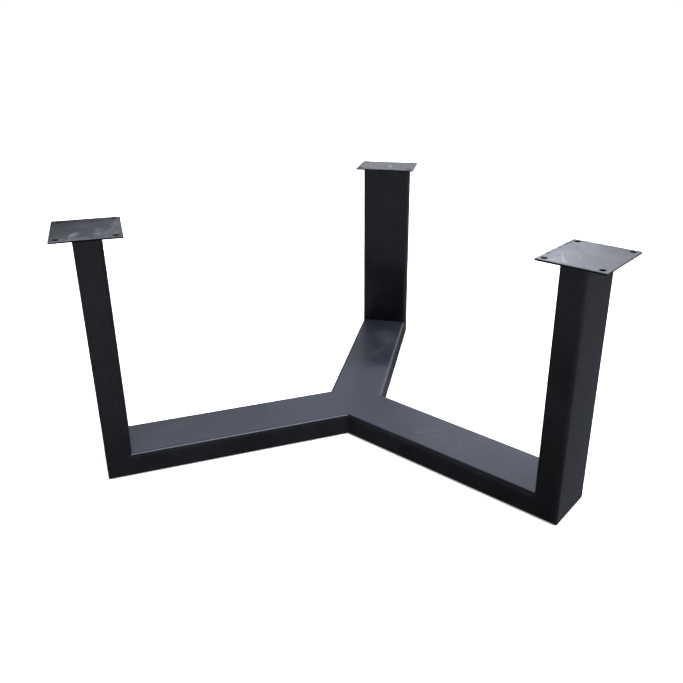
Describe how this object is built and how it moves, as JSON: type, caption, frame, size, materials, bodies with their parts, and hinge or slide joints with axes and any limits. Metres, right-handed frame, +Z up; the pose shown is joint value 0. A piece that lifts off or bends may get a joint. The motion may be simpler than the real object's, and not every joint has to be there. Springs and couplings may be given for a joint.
{
  "type": "tripod table base",
  "caption": "Welded table base of rectangular steel tube: flat arms joined in a Y on the floor, each turning up into an upright with a screw plate for the table top.",
  "frame": {"origin": "hub centre, where the three arms meet, on the floor", "axes": "+Z up, +Y along the back arm; the left and right arms are 120 degrees either side"},
  "size_m": [0.8698, 0.7539, 0.405],
  "materials": {
    "black_coat": "satin"
  },
  "bodies": {
    "root": {"arm_back": "black_coat", "arm_left": "black_coat", "arm_right": "black_coat", "upright_back": "black_coat", "upright_left": "black_coat", "upright_right": "black_coat", "top_plate_back": "black_coat", "top_plate_left": "black_coat", "top_plate_right": "black_coat", "plate_weld_back": "black_coat", "plate_weld_left": "black_coat", "plate_weld_right": "black_coat"}
  },
  "joints": []
}
